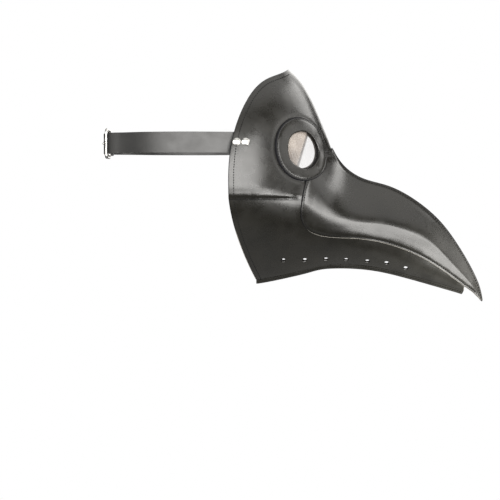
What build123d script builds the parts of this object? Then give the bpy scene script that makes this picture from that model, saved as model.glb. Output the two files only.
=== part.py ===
"""Plague doctor mask in black leather, with a buckled head strap. Millimetres.

The frame is that of the worn mask: +X is where the beak points, +Z is up and +Y is the
wearer's left. The origin is the middle of the face opening. The skin is one lofted form,
cut along its seams into the leather panels that are sewn together.
"""

import math
import os

from build123d import *

# --- driving dimensions -------------------------------------------------------------
LEATHER = 2.0  # thickness of every panel
FLANGE = 4.5  # how far the two sewn edges stand out along the ridge and the keel
FLANGE_HALF = 1.7  # half thickness of that sewn edge
NO_FLANGE = 0.4  # height of the flange where there is none
SECTION_SHARES = (0.05, 0.14, 0.28, 0.43, 0.58, 0.72, 0.86)  # where a section's points are
CREST = 0.88  # where the beak's side bends, as a share of the way down to the shoulder
BEND = 5.0  # how sharply it bends
HALF_SPAN = 120.0  # half width of the blocks that cut the skin

EYE_X, EYE_Z = 63.0, 28.0  # centre of the eye, seen from the side
EYE_TURN = 36.0  # degrees that the eye faces forward of sideways
EYE_PITCH = 4.0  # degrees that it faces up
EYE_REACH = 32.0  # length of the cutters that make the parts of the eye
EYE_HOLE_R = 18.5
EYE_RING_R = 31.5
EYE_RING_HEIGHT = 3.4
LENS_R = 23.0
LENS_THICKNESS = 1.0
BACKING_R = 27.0
BACKING_THICKNESS = 1.4

VENT_R = 2.3
VENT_REACH = 9.0  # length of the cutters that punch them
VENTS = [(44, -82), (65, -81.5), (86, -80.3), (106, -80.6), (127, -82.3), (146, -84.4), (165, -89.4)]

STRAP_WIDTH = 20.0
STRAP_THICKNESS = 1.8
STRAP_Z = 34.0  # height of the strap's centre line
STRAP_GAP = 0.2  # clearance between layers that lie on each other
ANCHOR_GAP = 0.35  # and between the strap's end and the curved inside of the temple
ANCHOR_X = 14.0  # where the strap's ends reach to inside the temples
HEAD_X = -50.0  # middle of the head's outline, an ellipse that the strap follows
HEAD_LENGTH = 168.0
HEAD_WIDTH = 157.0
HEAD_TURNS = (85, 104, 122, 139)  # where on it the strap's points are, in degrees

RIVET_XS = (1.0, 9.5)  # the two rivets in each end of the strap
RIVET_R = 1.4
RIVET_CAP_R = 4.0
RIVET_CAP_HEIGHT = 1.3
RIVET_FOOT_R = 3.4  # the flat cap inside
RIVET_FOOT = 0.8
RIVET_SEAT = 0.4  # clearance under both caps, for the curve of the leather
RIVET_HOLE_R = RIVET_R + 0.05

WIRE_R = 1.5  # the buckle's frame
BUCKLE_X = -131.0  # middle of the frame's wire, behind the head
BAR_Y = 0.0  # the bar that the strap and the prong turn on
BUCKLE_LENGTH = 23.0  # between the two bars' middles
BUCKLE_HEIGHT = 27.0  # between the two sides' middles
PRONG_R = 1.1
PRONG_EYE_R = 2.7
PRONG_WIDTH = 3.6
PRONG_SLOT = 5.0  # width of the slot that lets the prong through the fold
FOLD_R = WIRE_R + STRAP_GAP + STRAP_THICKNESS / 2  # the fold round the bar, at mid thickness

HOLE_R = 1.7  # adjustment holes
HOLE_PITCH = 13.0

FLAP_LENGTH = 26.0  # the strap's turned-back end, from the bar
FLAP_JOIN = 12.0  # where it comes to lie on the strap
FLAT_LENGTH = 28.0  # how far the buckled strap runs straight from the bar
FLAT_BEFORE_BAR = 5.0  # and the free strap, before the free bar
FREE_END = 38.0  # how far the free end reaches past the bar

KEEPER_WIDTH = 8.0
KEEPER_THICKNESS = 1.3
KEEPER_Y = 17.5

# Stations of the skin: each is a section along the line from a ridge point to a keel
# point, (x, z) and (x, z), with the half width at the shoulder, how far down the line
# the shoulder is, how round the top is (1 on the head, 0 on the beak) and how full the
# jaw is.
STATIONS = [
    ((-38, 119), (-37, -109), 85, 0.61, 1.0, 1.5),
    ((-12, 122), (-12, -108), 81, 0.61, 1.0, 1.5),
    ((14, 121), (13, -106), 74, 0.61, 1.0, 1.5),
    ((40, 113), (36, -102), 61, 0.61, 1.0, 1.5),
    ((60, 96), (54, -98), 49, 0.61, 0.95, 1.5),
    ((77, 65), (68, -94.5), 41.5, 0.59, 0.85, 1.6),
    ((90, 34), (82, -91), 36.5, 0.54, 0.5, 1.8),
    ((102, 14), (96, -90), 32.5, 0.49, 0.12, 2.0),
    ((120, 0.5), (112, -90.2), 28.5, 0.47, 0.0, 2.2),
    ((146, -7.5), (135, -92.5), 24.7, 0.45, 0.0, 2.4),
    ((175, -22.5), (160, -98), 20, 0.41, 0.0, 2.8),
    ((199, -43), (182, -104), 15.5, 0.38, 0.0, 3.2),
    ((217, -67), (203, -110), 11.4, 0.42, 0.0, 3.2),
    ((231.5, -92), (220, -115), 7.2, 0.4, 0.0, 3.0),
    ((239, -110), (232, -119.5), 4.4, 0.42, 0.0, 2.5),
    ((241.5, -121), (239.5, -123.5), 2.0, 0.5, 0.0, 1.6),
]
RIDGE_FLANGE_FROM = 7  # first station whose ridge is a sewn flange

# Seams and edges, as (x, z) points seen from the side.
BACK_EDGE = [(52, 125), (50, 109), (30, 97), (9, 72), (-3, 35), (-6, -5), (-2, -45), (8, -80), (27, -125)]
CHEEK_SEAM = [(-60, -21), (20, -21.5), (63.8, -23)]
BEAK_REAR = [(106, 32), (94.5, 26.5), (86, 25), (76, 14), (68, -2), (65, -14), (63.8, -23)]
BEAK_SEAM = [
    (63.8, -23),
    (62.8, -38),
    (67.5, -50),
    (78, -55.8),
    (107, -58.7),
    (148, -65.2),
    (183, -79.5),
    (223, -107),
]
MOUTH_EDGE = [(223, -107), (232, -113.5), (243, -125)]
JAW_END = [(223, -107), (221.5, -120)]


# --- the skin -----------------------------------------------------------------------
def inward(points, index, turn):
    """Unit normal of a side-view curve at one of its points, turned to the inside."""
    before = points[max(index - 1, 0)]
    after = points[min(index + 1, len(points) - 1)]
    dx, dz = after[0] - before[0], after[1] - before[1]
    length = math.hypot(dx, dz)
    return (turn * dz / length, -turn * dx / length)


def bent(way):
    """A straight rise to 1 that bends over and stays level."""
    return way / (1 + way**BEND) ** (1 / BEND)


def half_width(share, shoulder, roundness, fullness):
    """Half width at a share of the way from the ridge to the keel. It is 1 at the shoulder."""
    if share <= shoulder:
        rise = share / shoulder
        round_top = math.sqrt(1 - (1 - rise) ** 2)
        bent_top = bent(rise / CREST) / bent(1 / CREST)
        return roundness * round_top + (1 - roundness) * bent_top
    fall = (share - shoulder) / (1 - shoulder)
    return (1 - fall**fullness) ** 0.9


def skin(depth):
    """The closed form of the whole mask, with its surface moved in by depth (out if negative)."""
    ridge = [s[0] for s in STATIONS]
    keel = [s[1] for s in STATIONS]
    with BuildPart() as form:
        for i, (top, bottom, width, *form_shares) in enumerate(STATIONS):
            top_depth = depth + (FLANGE if depth > 0 and i >= RIDGE_FLANGE_FROM else 0)
            bottom_depth = depth + (FLANGE if depth > 0 else 0)
            shrink = min(1.0, width / (width + 2 * max(depth, 0)) + 0.1)
            top_normal, bottom_normal = inward(ridge, i, 1), inward(keel, i, -1)
            top = (top[0] + top_normal[0] * top_depth * shrink, top[1] + top_normal[1] * top_depth * shrink)
            bottom = (
                bottom[0] + bottom_normal[0] * bottom_depth * shrink,
                bottom[1] + bottom_normal[1] * bottom_depth * shrink,
            )
            length = math.hypot(bottom[0] - top[0], bottom[1] - top[1])
            up = ((top[0] - bottom[0]) / length, (top[1] - bottom[1]) / length)
            flat = max(FLANGE_HALF - max(depth, 0), 0.4)
            reach = max(width - depth, 1.2 * flat)
            fin = min(FLANGE, 0.2 * length) if depth <= 0 else NO_FLANGE
            top_fin = fin if i >= RIDGE_FLANGE_FROM else NO_FLANGE
            bottom_fin = fin
            height = length - top_fin - bottom_fin
            shares = [0, *SECTION_SHARES, 1]
            widths = [flat + (reach - flat) * half_width(s, *form_shares) for s in shares]
            right = [(w, -top_fin - s * height) for w, s in zip(widths, shares)]
            left = [(-x, y) for x, y in reversed(right)]
            plane = Plane(origin=(top[0], 0, top[1]), x_dir=(0, 1, 0), z_dir=(up[1], 0, -up[0]))
            with BuildSketch(plane):
                with BuildLine():
                    Line((flat, 0), right[0])
                    Spline(*right)
                    Line(right[-1], (flat, -length))
                    Line((flat, -length), (-flat, -length))
                    Line((-flat, -length), left[0])
                    Spline(*left)
                    Line(left[-1], (-flat, 0))
                    Line((-flat, 0), (flat, 0))
                make_face()
        loft()
    return form.part


def side_block(*edges):
    """A side-view region as a block that runs right across the mask. Each edge is a list of
    (x, z) points: two points make a straight line, more make a spline."""
    with BuildPart() as block:
        with BuildSketch(Plane.XZ):
            with BuildLine():
                for points in edges:
                    Polyline(*points) if len(points) == 2 else Spline(*points)
            make_face()
        extrude(amount=HALF_SPAN, both=True)
    return block.part


def side_of(solid, side):
    """The half of a solid on one side: 1 is the wearer's left, -1 the right."""
    with BuildPart() as half:
        add(solid)
        split(bisect_by=Plane.XZ, keep=Keep.BOTTOM if side > 0 else Keep.TOP)
    return half.part


def save(solid, name):
    """Labels a finished piece and writes it under its node's name."""
    solid.label = name
    export_step(solid, f"parts/{name}.step")


def skin_y(form, x, z):
    """How far out the surface of a form is at x and z."""
    hits = form.find_intersection_points(Axis((x, -HALF_SPAN, z), (0, 1, 0)))
    return max(abs(point.Y) for point, _ in hits)


# --- leather panels -----------------------------------------------------------------
def cut_panels(outer):
    """The skin's leather, cut along its seams: the face, the beak and the jaw."""
    far = (300, -160)
    high = (300, 160)
    opening = side_block(BACK_EDGE, [BACK_EDGE[-1], far], [far, high], [high, BACK_EDGE[0]])
    beak_region = side_block(
        BEAK_REAR,
        BEAK_SEAM,
        MOUTH_EDGE,
        [MOUTH_EDGE[-1], (300, MOUTH_EDGE[-1][1])],
        [(300, MOUTH_EDGE[-1][1]), (300, 60)],
        [(300, 60), BEAK_REAR[0]],
    )
    jaw_region = side_block(
        CHEEK_SEAM,
        BEAK_SEAM,
        JAW_END,
        [JAW_END[-1], (JAW_END[-1][0], -160)],
        [(JAW_END[-1][0], -160), (CHEEK_SEAM[0][0], -160)],
        [(CHEEK_SEAM[0][0], -160), CHEEK_SEAM[0]],
    )
    with BuildPart() as leather:
        add(outer)
        add(skin(LEATHER), mode=Mode.SUBTRACT)
        add(opening, mode=Mode.INTERSECT)
        for side in (-1, 1):
            add(eye_cylinder(outer, side, EYE_HOLE_R), mode=Mode.SUBTRACT)
    with BuildPart() as beak:
        add(leather.part)
        add(beak_region, mode=Mode.INTERSECT)
    with BuildPart() as jaw:
        add(leather.part)
        add(jaw_region, mode=Mode.INTERSECT)
        with Locations(*vent_planes(outer)):
            Cylinder(VENT_R, VENT_REACH, mode=Mode.SUBTRACT)
    with BuildPart() as face:
        add(leather.part)
        add(beak_region, mode=Mode.SUBTRACT)
        add(jaw_region, mode=Mode.SUBTRACT)
        for side in (-1, 1):
            add(rivet_holes(outer, side), mode=Mode.SUBTRACT)
    return face.part.solids().sort_by(SortBy.VOLUME)[-1], beak.part, jaw.part


def vent_planes(outer):
    """On the skin at each vent of both sides, square to the skin."""
    planes = []
    for x, z in VENTS:
        for point, normal in outer.find_intersection_points(Axis((x, -HALF_SPAN, z), (0, 1, 0))):
            planes.append(Plane(origin=point, z_dir=normal))
    return planes


# --- eyes ---------------------------------------------------------------------------
def eye_cylinder(outer, side, radius):
    """A cylinder square to one eye, through the skin there."""
    turn, pitch = math.radians(EYE_TURN), math.radians(EYE_PITCH)
    facing = (
        math.sin(turn) * math.cos(pitch),
        side * math.cos(turn) * math.cos(pitch),
        math.sin(pitch),
    )
    centre = (EYE_X, side * skin_y(outer, EYE_X, EYE_Z), EYE_Z)
    with BuildPart(Plane(origin=centre, z_dir=facing)) as cylinder:
        Cylinder(radius, EYE_REACH)
    return cylinder.part


def eye_layer(outer, side, radius, top, bottom, hole_radius=0):
    """A round piece that follows the skin at one eye, between two depths below the surface."""
    with BuildPart() as layer:
        add(skin(top))
        add(eye_cylinder(outer, side, radius), mode=Mode.INTERSECT)
        add(skin(bottom), mode=Mode.SUBTRACT)
        if hole_radius:
            add(eye_cylinder(outer, side, hole_radius), mode=Mode.SUBTRACT)
    return layer.part.solids().sort_by(SortBy.VOLUME)[-1]


# --- head strap ---------------------------------------------------------------------
def anchor_y(outer, x):
    """Middle of the strap's end inside the temple: clear of the skin over its whole width."""
    top = STRAP_Z + STRAP_WIDTH / 2
    return skin_y(outer, x, top) - LEATHER - STRAP_THICKNESS / 2 - ANCHOR_GAP


def ribbon(path):
    """A strap as wide and thick as the others, along a path in the strap's plane."""
    with BuildPart() as strap:
        with BuildSketch(Plane(origin=path @ 0, z_dir=path % 0, x_dir=(0, 0, 1))):
            Rectangle(STRAP_WIDTH, STRAP_THICKNESS)
        sweep(path=path)
    return strap.part


def temple_points(outer, side):
    """Where a strap's end lies inside the temple, from its end to where it leaves the mask."""
    xs = (ANCHOR_X, ANCHOR_X / 2, -2.0)
    return [(x, side * anchor_y(outer, x), STRAP_Z) for x in xs]


def round_head(side):
    """The strap's way round one side of the head, from beside it to behind it."""
    return [
        (
            HEAD_X + HEAD_LENGTH / 2 * math.cos(math.radians(turn)),
            side * HEAD_WIDTH / 2 * math.sin(math.radians(turn)),
            STRAP_Z,
        )
        for turn in HEAD_TURNS
    ]


def rivet_plane(outer, side, x):
    """On the skin at a rivet, square to the strap's end there."""
    here, there = anchor_y(outer, x + 1), anchor_y(outer, x - 1)
    normal = (there - here, 2 * side, 0)
    return Plane(origin=(x, side * skin_y(outer, x, STRAP_Z), STRAP_Z), z_dir=normal)


def rivet_holes(outer, side):
    """What the rivets' shanks need cut out of the leather and the strap."""
    with BuildPart() as holes:
        for x in RIVET_XS:
            with Locations(rivet_plane(outer, side, x)):
                Cylinder(RIVET_HOLE_R, 30)
    return holes.part


def rivet(reach):
    """One rivet along Z, with the leather's face at z = 0 and its inner cap at -reach."""
    with BuildPart() as body:
        with BuildSketch(Plane.XZ):
            with BuildLine():
                dome = TangentArc(
                    (0, RIVET_CAP_HEIGHT + RIVET_SEAT), (RIVET_CAP_R, RIVET_SEAT), tangent=(1, 0)
                )
                Polyline(
                    dome @ 1,
                    (RIVET_R, RIVET_SEAT),
                    (RIVET_R, -reach),
                    (RIVET_FOOT_R, -reach),
                    (RIVET_FOOT_R, -reach - RIVET_FOOT),
                    (0, -reach - RIVET_FOOT),
                    dome @ 0,
                )
            make_face()
        revolve(axis=Axis.Z)
    return body.part


def rivets(outer, side):
    """The two rivets through one temple."""
    with BuildPart() as pair:
        for x in RIVET_XS:
            plane = rivet_plane(outer, side, x)
            depth = abs(plane.origin.Y) - anchor_y(outer, x) + STRAP_THICKNESS / 2
            add(rivet(depth * abs(plane.z_dir.Y) + RIVET_SEAT).moved(plane.location))
    return pair.part


def buckled_strap(outer):
    """The strap from the left temple, folded round the buckle's bar."""
    outside = BUCKLE_X - FOLD_R
    flap_x = outside + STRAP_THICKNESS + STRAP_GAP / 2
    temple = temple_points(outer, 1)
    with BuildLine() as path:
        end = Line((flap_x, BAR_Y + FLAP_LENGTH, STRAP_Z), (flap_x, BAR_Y + FLAP_JOIN, STRAP_Z))
        flap = Spline(end @ 1, (BUCKLE_X + FOLD_R, BAR_Y, STRAP_Z), tangents=[(0, -1, 0), (0, -1, 0)])
        fold = ThreePointArc(flap @ 1, (BUCKLE_X, BAR_Y - FOLD_R, STRAP_Z), (outside, BAR_Y, STRAP_Z))
        flat = Line(fold @ 1, (outside, BAR_Y + FLAT_LENGTH, STRAP_Z))
        to_temple = (temple[0][0] - temple[1][0], temple[0][1] - temple[1][1], 0)
        points = [*reversed(round_head(1)), *reversed(temple)]
        Spline(flat @ 1, *points, tangents=[(0, 1, 0), to_temple])
    with BuildPart() as strap:
        add(ribbon(path.wire()))
        with Locations((BUCKLE_X, BAR_Y - FOLD_R / 2, STRAP_Z)):
            Box(4 * FOLD_R, 3 * FOLD_R, PRONG_SLOT, mode=Mode.SUBTRACT)
        add(rivet_holes(outer, 1), mode=Mode.SUBTRACT)
    return strap.part


def free_strap(outer):
    """The strap from the right temple: under the buckle's free bar, over its hinge bar, and
    on through the keeper, with a row of holes."""
    under = BUCKLE_X + WIRE_R + STRAP_GAP + STRAP_THICKNESS / 2
    over = BUCKLE_X - FOLD_R - STRAP_THICKNESS - STRAP_GAP
    free_bar_y = BAR_Y - BUCKLE_LENGTH
    temple = temple_points(outer, -1)
    from_temple = (temple[1][0] - temple[0][0], temple[1][1] - temple[0][1], 0)
    with BuildLine() as path:
        end = (under, free_bar_y - FLAT_BEFORE_BAR, STRAP_Z)
        side_run = Spline(*temple, *round_head(-1), end, tangents=[from_temple, (0, 1, 0)])
        flat = Line(side_run @ 1, (under, free_bar_y + 1, STRAP_Z))
        cross = Spline(
            flat @ 1,
            (over, BAR_Y - 1, STRAP_Z),
            tangents=[(0, 1, 0), (0, 1, 0)],
        )
        Line(cross @ 1, (over, BAR_Y + FREE_END, STRAP_Z))
    with BuildPart() as strap:
        add(ribbon(path.wire()))
        hole_ys = [BAR_Y + HOLE_PITCH * i for i in (1, 2)]
        with Locations(*[Location((BUCKLE_X, y, STRAP_Z), (0, 90, 0)) for y in hole_ys]):
            Cylinder(HOLE_R, 16, mode=Mode.SUBTRACT)
        with BuildSketch(Plane(origin=(over - 10, BAR_Y - 7, STRAP_Z), x_dir=(0, 1, 0), z_dir=(1, 0, 0))):
            SlotOverall(13, 2 * HOLE_R)
        extrude(amount=20, mode=Mode.SUBTRACT)
        add(rivet_holes(outer, -1), mode=Mode.SUBTRACT)
    return strap.part


def buckle_frame():
    """A rectangle of round wire, standing in the strap's plane behind the head."""
    middle = (BUCKLE_X, BAR_Y - BUCKLE_LENGTH / 2, STRAP_Z)
    with BuildPart() as frame:
        with BuildSketch(Plane(origin=middle, x_dir=(0, 1, 0), z_dir=(1, 0, 0)), mode=Mode.PRIVATE) as window:
            RectangleRounded(BUCKLE_LENGTH, BUCKLE_HEIGHT, 2.5)
        path = window.sketch.face().outer_wire()
        with BuildSketch(Plane(origin=path @ 0, z_dir=path % 0)):
            Circle(WIRE_R)
        sweep(path=path)
    return frame.part


def buckle_prong():
    """The prong: an eye round the hinge bar, and a pin that lies on the free bar."""
    tip_x = BUCKLE_X - WIRE_R - PRONG_R - 0.05
    with BuildPart() as prong:
        with Locations((BUCKLE_X, BAR_Y, STRAP_Z)):
            Cylinder(PRONG_EYE_R, PRONG_WIDTH)
        with BuildLine() as pin:
            Line((BUCKLE_X - 1.5, BAR_Y - 1.0, STRAP_Z), (tip_x, BAR_Y - BUCKLE_LENGTH - 1.5, STRAP_Z))
        with BuildSketch(Plane(origin=pin.line @ 0, z_dir=pin.line % 0)):
            Circle(PRONG_R)
        sweep(path=pin.line)
        with Locations(pin.line @ 1):
            Sphere(PRONG_R)
        with Locations((BUCKLE_X, BAR_Y, STRAP_Z)):
            Cylinder(WIRE_R + 0.06, 2 * PRONG_WIDTH, mode=Mode.SUBTRACT)
    return prong.part


def keeper():
    """The loop that holds the free end down on the folded strap."""
    inner_low = BUCKLE_X - FOLD_R - STRAP_THICKNESS * 1.5 - 2 * STRAP_GAP
    inner_high = BUCKLE_X - FOLD_R + STRAP_THICKNESS * 1.5 + 2 * STRAP_GAP
    middle = ((inner_low + inner_high) / 2, KEEPER_Y, STRAP_Z)
    depth = inner_high - inner_low
    height = STRAP_WIDTH + 3 * STRAP_GAP
    with BuildPart() as loop:
        with BuildSketch(Plane(origin=middle, x_dir=(1, 0, 0), z_dir=(0, -1, 0))):
            RectangleRounded(depth + 2 * KEEPER_THICKNESS, height + 2 * KEEPER_THICKNESS, 1.2)
            RectangleRounded(depth, height, 0.2, mode=Mode.SUBTRACT)
        extrude(amount=KEEPER_WIDTH / 2, both=True)
    return loop.part


def main():
    """Builds and writes every piece."""
    os.makedirs("parts", exist_ok=True)
    outer = skin(0)
    face, beak, jaw = cut_panels(outer)
    save(face, "face_panel")
    for side, name in ((-1, "right"), (1, "left")):
        save(side_of(beak, side), f"beak_panel_{name}")
        save(side_of(jaw, side), f"jaw_panel_{name}")
        lens_top, lens_bottom = LEATHER, LEATHER + LENS_THICKNESS
        save(eye_layer(outer, side, EYE_RING_R, -EYE_RING_HEIGHT, 0, EYE_HOLE_R), f"eye_ring_{name}")
        save(eye_layer(outer, side, LENS_R, lens_top, lens_bottom), f"lens_{name}")
        save(
            eye_layer(outer, side, BACKING_R, lens_bottom, lens_bottom + BACKING_THICKNESS, EYE_HOLE_R),
            f"lens_backing_{name}",
        )
        save(rivets(outer, side), f"rivets_{name}")
    save(buckled_strap(outer), "buckled_strap")
    save(free_strap(outer), "free_strap")
    save(buckle_frame(), "buckle_frame")
    save(buckle_prong(), "buckle_prong")
    save(keeper(), "keeper")


if __name__ == "__main__":
    main()
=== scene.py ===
"""Looks of the plague doctor mask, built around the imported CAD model.

Lengths are in millimetres until a mesh is made, which is in metres, in the CAD frame: +X is
where the beak points, +Y is the wearer's left, +Z is up. Each leather panel is a sheet on
the mask's skin, with a real thickness, a rounded cut edge, laps and stitches.
"""

import math

import bpy
import numpy as np
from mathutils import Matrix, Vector


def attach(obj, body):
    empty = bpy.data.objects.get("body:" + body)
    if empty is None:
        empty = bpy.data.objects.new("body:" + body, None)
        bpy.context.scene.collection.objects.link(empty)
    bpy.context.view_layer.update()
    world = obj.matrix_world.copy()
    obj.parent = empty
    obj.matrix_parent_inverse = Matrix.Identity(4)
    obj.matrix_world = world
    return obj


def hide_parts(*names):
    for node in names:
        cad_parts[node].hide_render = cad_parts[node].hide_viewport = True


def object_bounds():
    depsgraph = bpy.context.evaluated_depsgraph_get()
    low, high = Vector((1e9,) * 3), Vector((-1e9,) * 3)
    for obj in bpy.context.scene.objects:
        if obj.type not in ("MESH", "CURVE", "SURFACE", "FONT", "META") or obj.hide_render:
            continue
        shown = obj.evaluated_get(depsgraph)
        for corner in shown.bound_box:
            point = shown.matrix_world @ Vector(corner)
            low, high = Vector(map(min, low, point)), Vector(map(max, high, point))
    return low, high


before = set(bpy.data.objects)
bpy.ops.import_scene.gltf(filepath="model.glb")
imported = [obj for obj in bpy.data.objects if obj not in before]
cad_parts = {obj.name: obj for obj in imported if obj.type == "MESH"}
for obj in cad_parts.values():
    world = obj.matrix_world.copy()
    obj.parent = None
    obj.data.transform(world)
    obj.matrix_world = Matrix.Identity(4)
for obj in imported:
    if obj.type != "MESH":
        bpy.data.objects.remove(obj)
CAD_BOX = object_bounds()

# --- sizes ---
MM = 0.001
LEFT, RIGHT = 1, -1
SIDES = ((RIGHT, "right"), (LEFT, "left"))

# Stations of the skin, as in the CAD but for a slightly lower shoulder where the beak starts:
# ridge x and z, keel x and z, half width at the shoulder, how far down the shoulder is, how
# round the top is and how full the jaw is.
STATIONS = np.array([
    (-38, 119, -37, -109, 85, 0.61, 1.0, 1.5),
    (-12, 122, -12, -108, 81, 0.61, 1.0, 1.5),
    (14, 121, 13, -106, 74, 0.61, 1.0, 1.5),
    (40, 113, 36, -102, 61, 0.61, 1.0, 1.5),
    (60, 96, 54, -98, 49, 0.61, 0.95, 1.5),
    (77, 65, 68, -94.5, 41.5, 0.59, 0.85, 1.6),
    (90, 34, 82, -91, 36.5, 0.56, 0.5, 1.8),
    (102, 14, 96, -90, 32.5, 0.52, 0.12, 2.0),
    (120, 0.5, 112, -90.2, 28.5, 0.49, 0.0, 2.2),
    (146, -7.5, 135, -92.5, 24.7, 0.45, 0.0, 2.4),
    (175, -22.5, 160, -98, 20, 0.41, 0.0, 2.8),
    (199, -43, 182, -104, 15.5, 0.38, 0.0, 3.5),
    (217, -67, 203, -110, 11.4, 0.42, 0.0, 4.0),
    (231.5, -92, 220, -115, 7.2, 0.4, 0.0, 4.0),
    (239, -110, 232, -119.5, 4.4, 0.42, 0.0, 3.0),
    (241.5, -121, 239.5, -123.5, 2.0, 0.5, 0.0, 1.6),
])
BRIDGE, NOSE = 6, 7  # stations between which the ridge's sewn flange grows
FLANGE = 3.2
FLANGE_HALF = 2.1  # at its root; it is thinner at its edge
FLANGE_EDGE_HALF = 0.95
FLANGE_SHARE = 0.2  # flanges are at most this share of a section's length
FLANGE_STEPS = (0, 0.3, 0.6, 0.85)  # rows of points down a flange, as shares of its height
CREST = 0.93  # where the beak's side bends, as a share of the way down to the shoulder
BEND = 9.0  # how sharply it bends
JAW_CURVE = 0.9  # how the jaw's side runs in to the keel

# Seams and edges, as (x, z) points seen from the side.
BACK_EDGE = [
    (52, 125), (50, 109), (30, 97), (9, 72), (-3, 35), (-6, -5), (-2, -45), (8, -80), (27, -125),
]
BEAK_REAR = [(106, 32), (94.5, 26.5), (86, 25), (76, 14), (68, -2), (65, -14), (63.8, -23)]
BEAK_SEAM = [
    (63.8, -23), (62.8, -38), (67.5, -50), (78, -55.8), (107, -58.7), (148, -65.2), (183, -79.5),
    (223, -107),
]
MOUTH_EDGE = [(223, -107), (232, -113.5), (241, -122.4)]
JAW_END = (221.5, -120)
CHEEK_Z = -21.5
CORNER_Z = -48.5  # height of the lower rear corner of the beak's panel
MOUTH_FROM, MOUTH_TO = 196, 210  # x where the jaw comes out from under the beak
MOUTH_SLIT = 0.9

SHEET = 1.4  # thickness of the leather
EDGE = 0.55  # how far a cut edge bulges
EDGE_CURVE = 0.7
EDGE_STEPS = (0.14, 0.36, 0.64, 0.86)  # rows of points down it
HALF_GAP = 0.01  # between a panel's edge and the middle of the mask
LAP = 4.0  # how far one panel reaches under another
LAP_LIFT = 0.25  # how far the upper panel stands proud at its edge
LAP_SINK = 1.1  # how far the lower one sinks under it
CELL = 1.5  # spacing of the points on a panel
FINE = 200  # points on a line that is only a guide

STITCH_INSET = 1.5  # from a cut edge to its stitches
STITCH_PITCH = 2.5
STITCH_LENGTH = 1.9
STITCH_R = 0.42
STITCH_PROFILE = [  # place along a stitch and its radius there, as shares of length and radius
    (-0.5, 0.05), (-0.46, 0.6), (-0.3, 0.95), (0, 1.05), (0.3, 0.95), (0.46, 0.6), (0.5, 0.05),
]
STITCH_SIDES = 7
STITCH_ARCH = 0.5  # how far its middle rises, in radii
STITCH_SINK = 0.12
BACK_STITCH_INSET = 4.5
FLANGE_STITCH_INSET, FLANGE_STITCH_OUT = 1.8, 0.05
BEAK_STITCHES_TO = 238  # x of the last ones along the beak's edge
BEHIND_RING = 8  # height above which the ring covers that edge
CHEEK_STITCHES = (-3, 60)  # x of the first and last
KEEL_STITCH_END = (221, -112)

EYE_X, EYE_Z = 63.0, 28.0
EYE_TURN, EYE_PITCH = math.radians(36), math.radians(4)
EYE_HOLE_R = 18.5
EYE_CUT_OUT = 2.4  # the hole under the ring is this much larger
EYE_RING_R = 31.5
EYE_DEPTH = 25  # what lies deeper than this below an eye is the mask's other side

VENT_R = 2.3
VENT_SIDES = 24
VENT_CUT = 6  # how far the cutter reaches on either side of the skin
VENTS = [(44, -82), (65, -81.5), (86, -80.3), (106, -80.6), (127, -82.3), (146, -84.4), (165, -89.4)]


# --- curves ---
def cubic(knots, values):
    """The natural cubic spline through values at knots, as a function."""
    gaps = np.diff(knots)
    count = len(knots)
    system = np.eye(count)
    pull = np.zeros_like(values, dtype=float)
    for i in range(1, count - 1):
        system[i, i - 1:i + 2] = gaps[i - 1], 2 * (gaps[i - 1] + gaps[i]), gaps[i]
        ahead, behind = values[i + 1] - values[i], values[i] - values[i - 1]
        pull[i] = 6 * (ahead / gaps[i] - behind / gaps[i - 1])
    bend = np.linalg.solve(system, pull)

    def at(where):
        """The values at any places between the knots."""
        where = np.clip(where, knots[0], knots[-1])
        i = np.clip(np.searchsorted(knots, where, side="right") - 1, 0, count - 2)
        gap = gaps[i][..., None]
        up = ((where - knots[i]) / gaps[i])[..., None]
        down = 1 - up
        flat = down * values[i] + up * values[i + 1]
        return flat + gap**2 / 6 * ((down**3 - down) * bend[i] + (up**3 - up) * bend[i + 1])

    return at


def lengths(points):
    """Distance along a line of points, at each of them."""
    steps = np.linalg.norm(np.diff(points, axis=0), axis=1)
    return np.concatenate([[0], np.cumsum(steps)])


def full_turn(count):
    """Angles all the way round."""
    return np.linspace(0, 2 * math.pi, count, endpoint=False)


def unit(vectors):
    """The vectors, each with a length of 1."""
    return vectors / np.maximum(np.linalg.norm(vectors, axis=-1), 1e-9)[..., None]


def line(points, samples=300):
    """A smooth side-view line through points, finely sampled."""
    points = np.array(points, dtype=float)
    knots = lengths(points)
    return cubic(knots, points)(np.linspace(0, knots[-1], samples))


def at_lengths(points, where, wanted):
    """Points of a line at wanted lengths along it, when where is the length at each point."""
    return np.stack([np.interp(wanted, where, column) for column in points.T], axis=-1)


def evenly(points, count, along=None):
    """The same line with count points, evenly spaced by length (of along, if given)."""
    where = lengths(points if along is None else along)
    return at_lengths(points, where, np.linspace(0, where[-1], count))


def shifted(points, distance):
    """A side-view line moved to its left by a distance."""
    ahead = unit(np.gradient(points, axis=0))
    return points + distance * np.stack([-ahead[:, 1], ahead[:, 0]], axis=1)


def smooth(low, high, value):
    """0 below low, 1 above high, with a soft change between."""
    share = np.clip((value - low) / (high - low), 0, 1)
    return share * share * (3 - 2 * share)


def beside(points, x, z):
    """Distance from a side-view line, positive to its left, and the length along it."""
    start, end = points[:-1], points[1:]
    step = end - start
    size = np.maximum(np.linalg.norm(step, axis=1), 1e-9)
    spot = np.stack([np.ravel(x), np.ravel(z)], axis=1)[:, None, :] - start
    share = np.clip((spot * step).sum(-1) / size**2, 0, 1)
    gap = spot - share[..., None] * step
    far = np.linalg.norm(gap, axis=-1)
    near = far.argmin(axis=1)
    rows = np.arange(len(near))
    cross = step[near, 0] * spot[rows, near, 1] - step[near, 1] * spot[rows, near, 0]
    along = lengths(points)[near] + share[rows, near] * size[near]
    signed = far[rows, near] * np.where(cross >= 0, 1, -1)
    return signed.reshape(np.shape(x)), along.reshape(np.shape(x))


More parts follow.
